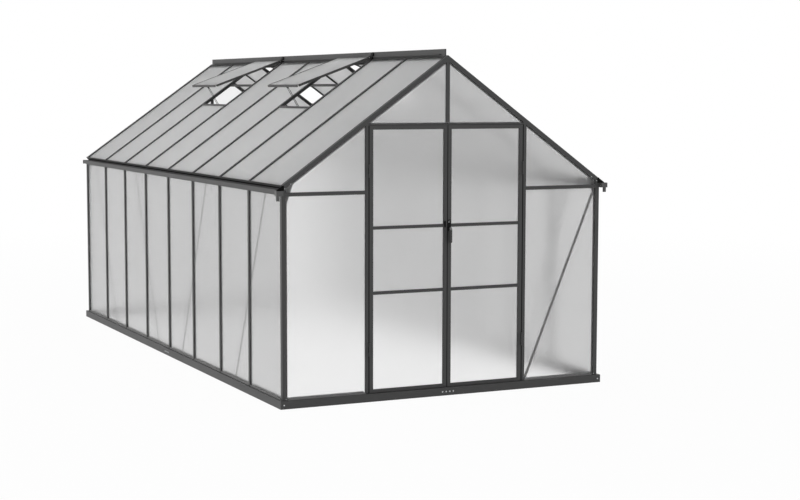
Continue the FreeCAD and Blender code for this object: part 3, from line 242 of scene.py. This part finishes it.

# Eaves
# The eave rails tie the studs together and carry the roof bars. A thin nosing closes the ends of the
# roof bars and drips into the gutter on the rail. A black strip under the nosing and a black block over
# the gutter's front end are painted shade: they stand for the shade in the gap between nosing and gutter.
SHADE_STRIP_TOP = Vector((1214.5, 0, 1474.5)) * MM          # inner lower edge of the nosing
SHADE_STRIP_GAP, SHADE_STRIP_T, SHADE_STRIP_H = 0.2, 3, 12
SHADE_PIECE_EDGE = 0.5
SHADE_PLUG_LOW, SHADE_PLUG_HIGH = (1210, 1452.2), (1262, 1484)          # across and up, over the gutter's end
SHADE_PLUG_T, SHADE_PLUG_GAP = 8, 0.3
ROOF_END_X = 1222          # where the top of the plug meets the slope of the roof
ROOF_PITCH = math.radians(35.27)
dress(powder_coat, "eave_rails", "eave_noses", "gutters")


def block(low, high, chamfer):
    """Bar between two corners in millimetres, with all its edges broken."""
    low, high = Vector(low) * MM, Vector(high) * MM
    bar = start_mesh(bpy.ops.mesh.primitive_cube_add, size=1, location=(low + high) / 2, scale=high - low)
    pick(bar, edges=lambda a, b: True)
    bpy.ops.mesh.bevel(offset=chamfer * MM, segments=2, affect="EDGES")
    bpy.ops.object.mode_set(mode="OBJECT")
    return bar


# Foam rubber: matt black, takes the light away, with the pores of its skin just showing. It is also
# painted shade, in the black strips and plug of the eaves and the seals where the door leaves meet.
FOAM_AND_SHADE_DARK, FOAM_AND_SHADE_LIGHT = "#101010", "#181818"
FOAM_PORE = 2 * MM
foam_rubber_and_painted_shade, tree, shader, place = new_finish("black_foam_rubber_and_painted_shade")
pores = add_node(tree, "ShaderNodeTexVoronoi", {"Vector": place, "Scale": 1 / FOAM_PORE})
tone = add_node(tree, "ShaderNodeMix", data_type="RGBA",
                links={0: pores.outputs["Distance"], 6: linear(FOAM_AND_SHADE_DARK), 7: linear(FOAM_AND_SHADE_LIGHT)})
shader.inputs["Roughness"].default_value = 0.9
shader.inputs["Specular IOR Level"].default_value = 0.1
tree.links.new(tone.outputs[2], shader.inputs["Base Color"])

eave_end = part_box("eave_noses")[1].y / MM
# Painted shade: black strips in the gap under the nosing and a black block over the gutter's front end.
shade_strip = block((SHADE_STRIP_GAP, -eave_end, -SHADE_STRIP_H), (SHADE_STRIP_T, eave_end, 0), SHADE_PIECE_EDGE)
slanted = Matrix.Translation(SHADE_STRIP_TOP) @ Matrix.Rotation(ROOF_PITCH, 4, "Y")
shade_strips = [copied(shade_strip, Matrix.Rotation(turn, 4, "Z") @ slanted) for turn in (0, math.pi)]
bpy.data.objects.remove(shade_strip)
shade_plug_low = (SHADE_PLUG_LOW[0], -eave_end - SHADE_PLUG_T, SHADE_PLUG_LOW[1])
shade_plug_high = (SHADE_PLUG_HIGH[0], -eave_end - SHADE_PLUG_GAP, SHADE_PLUG_HIGH[1])
shade_plug = block(shade_plug_low, shade_plug_high, SHADE_PIECE_EDGE)
pick(shade_plug, faces=lambda face: True)
bpy.ops.mesh.bisect(plane_co=(ROOF_END_X * MM, 0, SHADE_PLUG_HIGH[1] * MM),
                    plane_no=(math.sin(ROOF_PITCH), 0, math.cos(ROOF_PITCH)), use_fill=True, clear_outer=True)
bpy.ops.object.mode_set(mode="OBJECT")
bpy.ops.object.modifier_add(type="MIRROR")
bpy.ops.object.modifier_apply(modifier=shade_plug.modifiers[0].name)
pick(shade_plug, faces=lambda face: True)
bpy.ops.mesh.normals_make_consistent(inside=False)
bpy.ops.object.mode_set(mode="OBJECT")
finish_piece(join(shade_strips + [shade_plug]), "eave_painted_shade", foam_rubber_and_painted_shade, "frame", "black_plastic")

# Gutter ends
# Flat caps on the rear ends of the gutters, and on the front ends open boxes with a spigot that takes
# a hose, moulded in plastic of the frame's grey.

# Moulded plastic: an even mid grey, a little glossier than the coat, with a fine mould grain.
PLASTIC_DARK, PLASTIC_LIGHT = "#484848", "#4e4e4e"
PLASTIC_GRAIN = 1.5 * MM
grey_plastic, tree, shader, place = new_finish("grey_moulded_plastic")
grain = add_node(tree, "ShaderNodeTexNoise", {"Vector": place, "Scale": 1 / PLASTIC_GRAIN, "Detail": 2.0})
tone = add_node(tree, "ShaderNodeMix", data_type="RGBA",
                links={0: grain.outputs[0], 6: linear(PLASTIC_DARK), 7: linear(PLASTIC_LIGHT)})
shader.inputs["Roughness"].default_value = 0.4
tree.links.new(tone.outputs[2], shader.inputs["Base Color"])
dress(grey_plastic, "gutter_outlets", "gutter_end_caps")

# Roof frame
# Angle rafters on the gables, slotted roof bars between eave and ridge, the ridge beam that they hang
# from, and the ridge cap with its upright crest. Bright screws hold the feet of posts and rafters.
GABLE_SCREWS = ((1198.0, 64.0), (1202.0, 1465.0), (1160.0, 1495.0))          # across and up
GABLE_SCREW_R, GABLE_SCREW_H, GABLE_SCREW_RIM = 3.4 * MM, 1.6 * MM, 0.5 * MM
GABLE_SCREW_SIDES = 16
dress(powder_coat, "gable_rafters", "roof_bars_left", "roof_bars_right", "ridge_beam", "ridge_cap",
      "vent_sills", "vent_crossbars")
gable_screw = disc(GABLE_SCREW_R, -GABLE_SCREW_H, 0, GABLE_SCREW_SIDES, GABLE_SCREW_RIM)
screws = []
for back in (0, math.pi):
    for side in (-1, 1):
        for x, z in GABLE_SCREWS:
            spot = Matrix.Translation((side * x * MM, -eave_end * MM, z * MM))
            screws.append(copied(gable_screw, Matrix.Rotation(back, 4, "Z") @ spot))
bpy.data.objects.remove(gable_screw)
gable_screws = join(screws)
smooth(gable_screws)
finish_piece(gable_screws, "gable_screws", zinc_plate, "frame", "plated_steel")

# Panels
# Twin-wall polycarbonate sheets, 6 mm thick, cut to each bay and held by their edges in the slots of
# the bars. The sheets of front, doors, walls and roof let different shares of the light through, and
# their tones are painted light: one sheet, paler on front and doors and greyer on walls and roof.

# Extruded polycarbonate with a frosted skin: milky, glows where light falls through it, and shows
# what lies behind it only as a soft shade.
SHEET_FROST = 4 * MM        # the frosting is finer, drawn coarser so that it shows
SHEET_FROST_DEPTH = 0.1 * MM
SHEET_DRIFT = 350 * MM
SHEET_IOR = 1.33            # two thin walls bend the light less than solid polycarbonate, 1.58


def frosted_sheet_painted_light(use, dark, light, clear, milky, rough):
    """Frosted polycarbonate between two close tones, painted light for the place it is used; shares of clear
    passage and of milky glow.
    """
    sheet, tree, shader, place = new_finish("frosted_polycarbonate_lit_as_" + use)
    drift = add_node(tree, "ShaderNodeTexNoise", {"Vector": place, "Scale": 1 / SHEET_DRIFT, "Detail": 1.0})
    tone = add_node(tree, "ShaderNodeMix", data_type="RGBA",
                    links={0: drift.outputs[0], 6: linear(dark), 7: linear(light)})
    frost = add_node(tree, "ShaderNodeTexNoise", {"Vector": place, "Scale": 1 / SHEET_FROST, "Detail": 2.0})
    relief = add_node(tree, "ShaderNodeBump",
                      {"Height": frost.outputs[0], "Strength": 0.04, "Distance": SHEET_FROST_DEPTH})
    shader.inputs["Roughness"].default_value = rough
    shader.inputs["IOR"].default_value = SHEET_IOR
    shader.inputs["Transmission Weight"].default_value = clear
    tree.links.new(tone.outputs[2], shader.inputs["Base Color"])
    tree.links.new(relief.outputs[0], shader.inputs["Normal"])
    glow = add_node(tree, "ShaderNodeBsdfTranslucent", {"Color": tone.outputs[2]})
    mixed = add_node(tree, "ShaderNodeMixShader", {0: milky, 1: shader.outputs[0], 2: glow.outputs[0]})
    tree.links.new(mixed.outputs[0], tree.nodes["Material Output"].inputs["Surface"])
    return sheet


# Painted light: the same sheet in lit and shaded copies, paler on front and doors, greyer on walls and roof.
front_sheet = frosted_sheet_painted_light("front", "#fcfcfc", "#ffffff", clear=0.96, milky=0.05, rough=0.34)
door_sheet = frosted_sheet_painted_light("door", "#fafafa", "#ffffff", clear=0.96, milky=0.05, rough=0.34)
wall_sheet = frosted_sheet_painted_light("wall", "#e4e4e4", "#e8e8e8", clear=0.95, milky=0.2, rough=0.18)
roof_sheet = frosted_sheet_painted_light("roof", "#ececec", "#f1f1f1", clear=0.85, milky=0.6, rough=0.34)
dress(front_sheet, "front_panels", "rear_panels")
dress(wall_sheet, "wall_panels_left", "wall_panels_right")
dress(roof_sheet, *(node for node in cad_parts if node.startswith("roof_panels")))

# Gussets, braces and nuts
# Flat steel plates bolted inside the gable corners and apexes, and thin strips across the bays that
# keep the walls square. They are coated like the frame, and their nuts are bright.
dress(zinc_plate, "frame_nuts")
dress(powder_coat, "gusset_plates", "wall_braces")

# Roof vents
# Four framed panels that hook over the bead of the ridge cap. A slotted stay under each one slides on
# a peg at the sill. Black stops on the crest keep the vent from creeping along the bead, and a black
# cap closes the front end of its hook.
BEAD_X, BEAD_Z = 13.8 * MM, 2356.77 * MM          # the line that the vents turn about
HOOK_CAP_R, HOOK_CAP_L, HOOK_CAP_RIM = 8.4 * MM, 26 * MM, 0.8 * MM
HOOK_CAP_SIDES = 24
VENTS = ["vent_" + end + "_" + side for end in ("front", "rear") for side in ("left", "right")]
dress(powder_coat, *(vent + "_frame" for vent in VENTS))
dress(zinc_plate, "stay_pegs")
dress(roof_sheet, *(vent + "_panel" for vent in VENTS))

# Moulded nylon: near black, evenly dull, with the fine grain of a spark-eroded mould.
NYLON_DARK, NYLON_LIGHT = "#0a0a0a", "#101010"
NYLON_GRAIN = 1.5 * MM
NYLON_GRAIN_DEPTH = 0.1 * MM
moulded_nylon, tree, shader, place = new_finish("black_moulded_nylon")
grain = add_node(tree, "ShaderNodeTexNoise", {"Vector": place, "Scale": 1 / NYLON_GRAIN, "Detail": 2.0})
tone = add_node(tree, "ShaderNodeMix", data_type="RGBA",
                links={0: grain.outputs[0], 6: linear(NYLON_DARK), 7: linear(NYLON_LIGHT)})
relief = add_node(tree, "ShaderNodeBump",
                  {"Height": grain.outputs[0], "Strength": 0.2, "Distance": NYLON_GRAIN_DEPTH})
shader.inputs["Roughness"].default_value = 0.6
shader.inputs["Specular IOR Level"].default_value = 0.15
tree.links.new(tone.outputs[2], shader.inputs["Base Color"])
tree.links.new(relief.outputs[0], shader.inputs["Normal"])
dress(moulded_nylon, "vent_stops")

# Graphite paint on metal, on the stays: much darker than the coat of the frame, and smoother.
PAINT_DARK, PAINT_LIGHT = "#202020", "#262626"
PAINT_DRIFT = 40 * MM
graphite_paint, tree, shader, place = new_finish("graphite_painted_metal")
drift = add_node(tree, "ShaderNodeTexNoise", {"Vector": place, "Scale": 1 / PAINT_DRIFT, "Detail": 2.0})
tone = add_node(tree, "ShaderNodeMix", data_type="RGBA",
                links={0: drift.outputs[0], 6: linear(PAINT_DARK), 7: linear(PAINT_LIGHT)})
shader.inputs["Roughness"].default_value = 0.4
tree.links.new(tone.outputs[2], shader.inputs["Base Color"])
dress(graphite_paint, *(vent + "_stay" for vent in VENTS))

cap = disc(HOOK_CAP_R, 0, HOOK_CAP_L, HOOK_CAP_SIDES, HOOK_CAP_RIM)
smooth(cap)
for vent in VENTS:
    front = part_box(vent + "_frame")[0].y
    side = -1 if vent.endswith("left") else 1
    hook_cap = copied(cap, Matrix.Translation((side * BEAD_X, front, BEAD_Z)))
    finish_piece(hook_cap, vent + "_plug", moulded_nylon, vent, "black_plastic")
bpy.data.objects.remove(cap)

# Doors
# Two leaves framed in the same slotted bar as the walls, each hung on a pair of hinges screwed to the
# face of the jamb. Black rubber seals close the gaps at the jambs and where the leaves meet. The seal
# where the leaves meet is partly painted shade: its black stands for the shade in the gap.
DOOR_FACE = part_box("door_jambs")[0].y / MM          # millimetres, as all sizes here without MM
LEAF_LOW, LEAF_HIGH = 57, 1874
MEETING_SHADE_SEAL, MEETING_PROUD = (0.3, 2.6), 0.8          # across from the middle, and out from the face
JAMB_SEAL, JAMB_PROUD = (590.9, 598.0), 0.15
SEAL_DEPTH, SEAL_EDGE = 7, 0.2
DOOR_HINGE_Z = (355.5, 1569.0)
HINGE_PLATE_T = 2
HINGE_SCREW_R, HINGE_SCREW_H, HINGE_SCREW_RIM = 3 * MM, 1.3 * MM, 0.4 * MM
HINGE_SCREW_SIDES = 12
SCREW_ROW = (-32, 0, 32)
JAMB_SCREW_X, LEAF_SCREW_X = 607.75, 576.75
dress(powder_coat, "door_frame_left", "door_frame_right", "door_hinges_left", "door_hinges_right",
      "jamb_hinges", "hinge_pins")
dress(door_sheet, "door_panels_left", "door_panels_right")


def seal(span, proud, side):
    """Seal along a door edge, on one side of the middle, a little proud of the face."""
    a, b = sorted(side * x for x in span)
    return block((a, DOOR_FACE - proud, LEAF_LOW), (b, DOOR_FACE + SEAL_DEPTH, LEAF_HIGH), SEAL_EDGE)


hinge_screw = disc(HINGE_SCREW_R, -HINGE_SCREW_H, 0, HINGE_SCREW_SIDES, HINGE_SCREW_RIM)


def hinge_screws(x):
    """Screws of the two hinge plates at one distance from the middle."""
    places = [Vector((x, DOOR_FACE - HINGE_PLATE_T, z + up)) * MM for z in DOOR_HINGE_Z for up in SCREW_ROW]
    return [copied(hinge_screw, Matrix.Translation(place)) for place in places]


# The seals where the leaves meet are partly painted shade: their black stands for the shade in the gap
# between the leaves.
for side, leaf in ((-1, "left_door"), (1, "right_door")):
    finish_piece(seal(MEETING_SHADE_SEAL, MEETING_PROUD, side), leaf + "_seal", foam_rubber_and_painted_shade, leaf, "black_plastic")
    finish_piece(join(hinge_screws(side * LEAF_SCREW_X)), leaf + "_screws", powder_coat, leaf, "frame_coat")
jamb_seals = join([seal(JAMB_SEAL, JAMB_PROUD, side) for side in (-1, 1)])
finish_piece(jamb_seals, "jamb_seals", foam_rubber_and_painted_shade, "frame", "black_plastic")
jamb_screws = join(hinge_screws(-JAMB_SCREW_X) + hinge_screws(JAMB_SCREW_X))
finish_piece(jamb_screws, "jamb_screws", powder_coat, "frame", "frame_coat")
bpy.data.objects.remove(hinge_screw)

# Door handle
# Black lever on a long rounded plate with a lock above it, on the right leaf, each with a plated ring,
# and a small pull on the left leaf. The plated rings are partly painted highlight: their pale metal
# stands for arcs of light on the black bosses. The spindle of the lever carries the latch tongue behind the
# leaf.
PIVOT_X, PIVOT_Z, LOCK_Z = 11.5, 1164, 1208
BACKPLATE_LOW, BACKPLATE_HIGH, BACKPLATE_T = (2.2, 1144), (26.2, 1224), 3          # across and up
BACKPLATE_CORNER, BACKPLATE_RIM = 9, 0.8
COLLAR_R, COLLAR_OUT = 7.8, 13          # out from the face of the door, as all that ends in OUT
HUB_R, HUB_GAP = 9, 0.5
LEVER_W, LEVER_L, LEVER_T, LEVER_OUT = 22, 101, 8, 29.5
LEVER_CORNER, LEVER_RIM = 7, 1.5
SPINDLE_R, SPINDLE_IN = 4, 30          # in behind the face
TONGUE_W, TONGUE_UP, TONGUE_T, TONGUE_EDGE = 14, 45, 3, 0.4
HIGHLIGHT_RING_R, CORE_R = 6.4, 4.2
LOCK_RING_OUT, LOCK_CORE_OUT = 5, 9
LEVER_RING_OUT, LEVER_CAP_OUT = 30.3, 31
PULL_LOW, PULL_HIGH, PULL_OUT = (-26.5, 1172), (-14.5, 1216), 8
PULL_CORNER, PULL_RIM = 4, 2
BOSS_SIDES, BOSS_RIM = 32, 0.6


def rounded_plate(low, high, front, back, corner, rim):
    """Plate between two corners, across and up, and two depths; round corners and a soft front rim."""
    low = Vector((low[0], DOOR_FACE + front, low[1])) * MM
    high = Vector((high[0], DOOR_FACE + back, high[1])) * MM
    plate = start_mesh(bpy.ops.mesh.primitive_cube_add, size=1, location=(low + high) / 2, scale=high - low)
    pick(plate, edges=lambda a, b: abs(a.y - b.y) > ON_PLANE)
    bpy.ops.mesh.bevel(offset=corner * MM, segments=5, affect="EDGES")
    bpy.ops.object.mode_set(mode="OBJECT")
    pick(plate, edges=lambda a, b: max(abs(a.y - low.y), abs(b.y - low.y)) < ON_PLANE)
    bpy.ops.mesh.bevel(offset=rim * MM, segments=3, affect="EDGES")
    bpy.ops.object.mode_set(mode="OBJECT")
    return plate


def boss(radius, front, back, z):
    """Round boss on the handle's middle line, between two depths from the face of the door."""
    y0, y1 = (DOOR_FACE + front) * MM, (DOOR_FACE + back) * MM
    return disc(radius * MM, y0, y1, BOSS_SIDES, BOSS_RIM * MM, PIVOT_X * MM, z * MM)


backplate = join([
    rounded_plate(BACKPLATE_LOW, BACKPLATE_HIGH, -BACKPLATE_T, 0, BACKPLATE_CORNER, BACKPLATE_RIM),
    boss(COLLAR_R, -COLLAR_OUT, -BACKPLATE_T, PIVOT_Z)])
hub_back = -COLLAR_OUT - HUB_GAP
lever_low = (PIVOT_X - LEVER_W / 2, PIVOT_Z - LEVER_L)
lever_high = (PIVOT_X + LEVER_W / 2, PIVOT_Z)
tongue_low = (PIVOT_X - TONGUE_W / 2, DOOR_FACE + SPINDLE_IN - TONGUE_T, PIVOT_Z - TONGUE_W / 2)
tongue_high = (PIVOT_X + TONGUE_W / 2, DOOR_FACE + SPINDLE_IN, PIVOT_Z + TONGUE_UP)
lever = join([
    boss(HUB_R, -LEVER_OUT, hub_back, PIVOT_Z),
    rounded_plate(lever_low, lever_high, -LEVER_OUT, LEVER_T - LEVER_OUT, LEVER_CORNER, LEVER_RIM),
    boss(SPINDLE_R, hub_back, SPINDLE_IN, PIVOT_Z),
    block(tongue_low, tongue_high, TONGUE_EDGE)])
lock_core = boss(CORE_R, -LOCK_CORE_OUT, -LOCK_RING_OUT, LOCK_Z)
lever_cap = boss(CORE_R, -LEVER_CAP_OUT, -LEVER_RING_OUT, PIVOT_Z)
pull = rounded_plate(PULL_LOW, PULL_HIGH, -PULL_OUT, 0, PULL_CORNER, PULL_RIM)
for piece in (backplate, lever, pull):
    smooth(piece)
finish_piece(backplate, "handle_backplate", moulded_nylon, "right_door", "black_plastic", "handle_plate")
finish_piece(lever, "lever_handle", graphite_paint, "door_lever", "black_plastic", "handle_lever")
finish_piece(pull, "leaf_pull", moulded_nylon, "left_door", "black_plastic", "door_pull")
finish_piece(lock_core, "lock_core", moulded_nylon, "right_door", "black_plastic")
finish_piece(lever_cap, "lever_cap", moulded_nylon, "door_lever", "black_plastic")
# Painted highlight, in part: the plated rings stand for arcs of light on the black bosses.
lock_highlight_ring = boss(HIGHLIGHT_RING_R, -LOCK_RING_OUT, -BACKPLATE_T, LOCK_Z)
finish_piece(lock_highlight_ring, "lock_highlight_ring", zinc_plate, "right_door", "plated_steel")
lever_highlight_ring = boss(HIGHLIGHT_RING_R, -LEVER_RING_OUT, -LEVER_OUT, PIVOT_Z)
finish_piece(lever_highlight_ring, "lever_highlight_ring", zinc_plate, "door_lever", "plated_steel")

# Floor, backdrop and light
# A plain pale studio floor that runs out to a white surround, one large soft light on the left, and
# even fill from all round.
FLOOR_COLOUR = "#f2f2f2"
FLOOR_SIZE = 80.0           # metres, as the other places of floor, light and camera
FLOOR_GLOW = 0.96           # share of plain white where the floor is seen, the rest takes the shadow
FLOOR_NEAR, FLOOR_FAR = 5.0, 12.0          # from here to there the floor fades to plain white
FILL = 0.95
DOME_FROM, DOME_TO, DOME_TOP = 0.1, 0.8, 0.6          # the surround darkens overhead


def background_rays(tree):
    """Light paths of a tree, and the rays that see the background, directly, mirrored or through a sheet."""
    rays = add_node(tree, "ShaderNodeLightPath").outputs
    near = add_node(tree, "ShaderNodeMath", {0: rays["Is Camera Ray"], 1: rays["Is Glossy Ray"]})
    seen = add_node(tree, "ShaderNodeMath", {0: near.outputs[0], 1: rays["Is Transmission Ray"]},
                    use_clamp=True)
    return rays, seen.outputs[0]


floor = start_mesh(bpy.ops.mesh.primitive_plane_add, size=FLOOR_SIZE)
floor.name = "studio_floor"
floor_paint = bpy.data.materials.new("matt_white_floor")
floor_paint.use_nodes = True
tree = floor_paint.node_tree
shader = tree.nodes["Principled BSDF"]
shader.inputs["Base Color"].default_value = linear(FLOOR_COLOUR)
shader.inputs["Roughness"].default_value = 0.9
shader.inputs["Specular IOR Level"].default_value = 0.1
rays, seen = background_rays(tree)
place = add_node(tree, "ShaderNodeTexCoord").outputs["Object"]
reach = add_node(tree, "ShaderNodeVectorMath", {0: place}, operation="LENGTH")
glow = add_node(tree, "ShaderNodeMapRange",
                {"Value": reach.outputs["Value"], "From Min": FLOOR_NEAR, "From Max": FLOOR_FAR,
                 "To Min": FLOOR_GLOW, "To Max": 1.0})
share = add_node(tree, "ShaderNodeMath", {0: seen, 1: glow.outputs[0]}, operation="MULTIPLY")
white = add_node(tree, "ShaderNodeEmission")
mixed = add_node(tree, "ShaderNodeMixShader",
                 {0: share.outputs[0], 1: shader.outputs[0], 2: white.outputs[0]})
tree.links.new(mixed.outputs[0], tree.nodes["Material Output"].inputs["Surface"])
floor.data.materials.append(floor_paint)

world = bpy.data.worlds.new("studio_surround")
bpy.context.scene.world = world
world.use_nodes = True
tree = world.node_tree
rays, seen = background_rays(tree)
strength = add_node(tree, "ShaderNodeMapRange", {"Value": seen, "To Min": FILL, "To Max": 1.0})
look = add_node(tree, "ShaderNodeSeparateXYZ", {0: add_node(tree, "ShaderNodeTexCoord").outputs["Generated"]})
dome = add_node(tree, "ShaderNodeMapRange",
                {"Value": look.outputs["Z"], "From Min": DOME_FROM, "From Max": DOME_TO,
                 "To Min": 1.0, "To Max": DOME_TOP})
lit = add_node(tree, "ShaderNodeMath", {0: strength.outputs[0], 1: dome.outputs[0]}, operation="MULTIPLY")
plain = add_node(tree, "ShaderNodeMath", {0: lit.outputs[0], 1: rays["Is Camera Ray"]}, operation="MAXIMUM")
tree.nodes["Background"].inputs["Color"].default_value = (1, 1, 1, 1)
tree.links.new(plain.outputs[0], tree.nodes["Background"].inputs["Strength"])

SOFTBOX_AT, SOFTBOX_AIM = Vector((-12.0, 1.5, 3.2)), Vector((0, 0, 1.0))
SOFTBOX_SIZE, SOFTBOX_WATTS = 6.0, 350.0
softbox_light = bpy.data.lights.new("left_softbox", "AREA")
softbox_light.shape, softbox_light.size = "SQUARE", SOFTBOX_SIZE
softbox_light.energy = SOFTBOX_WATTS
softbox = bpy.data.objects.new("left_softbox", softbox_light)
softbox.location = SOFTBOX_AT
softbox.rotation_euler = (SOFTBOX_AIM - SOFTBOX_AT).to_track_quat("-Z", "Y").to_euler()
bpy.context.scene.collection.objects.link(softbox)

# Camera
# A long lens at eye height, a little left of the front, as a product view of a building is taken.
CAMERA_AT = (-5.160, -12.486, 2.1164)
CAMERA_AZIMUTH, CAMERA_ELEVATION, CAMERA_ROLL = 25.576, -5.595, 0.1316          # degrees
CAMERA_FOCAL = 73.8          # millimetres
camera_lens = bpy.data.cameras.new("front_left_view")
camera_lens.lens = CAMERA_FOCAL
camera = bpy.data.objects.new("front_left_view", camera_lens)
aim = Euler((math.radians(90 + CAMERA_ELEVATION), 0, -math.radians(CAMERA_AZIMUTH))).to_matrix()
camera.rotation_euler = (aim @ Matrix.Rotation(math.radians(CAMERA_ROLL), 3, "Z")).to_euler()
camera.location = CAMERA_AT
bpy.context.scene.collection.objects.link(camera)
bpy.context.scene.camera = camera
bpy.context.scene.view_settings.view_transform = "Standard"
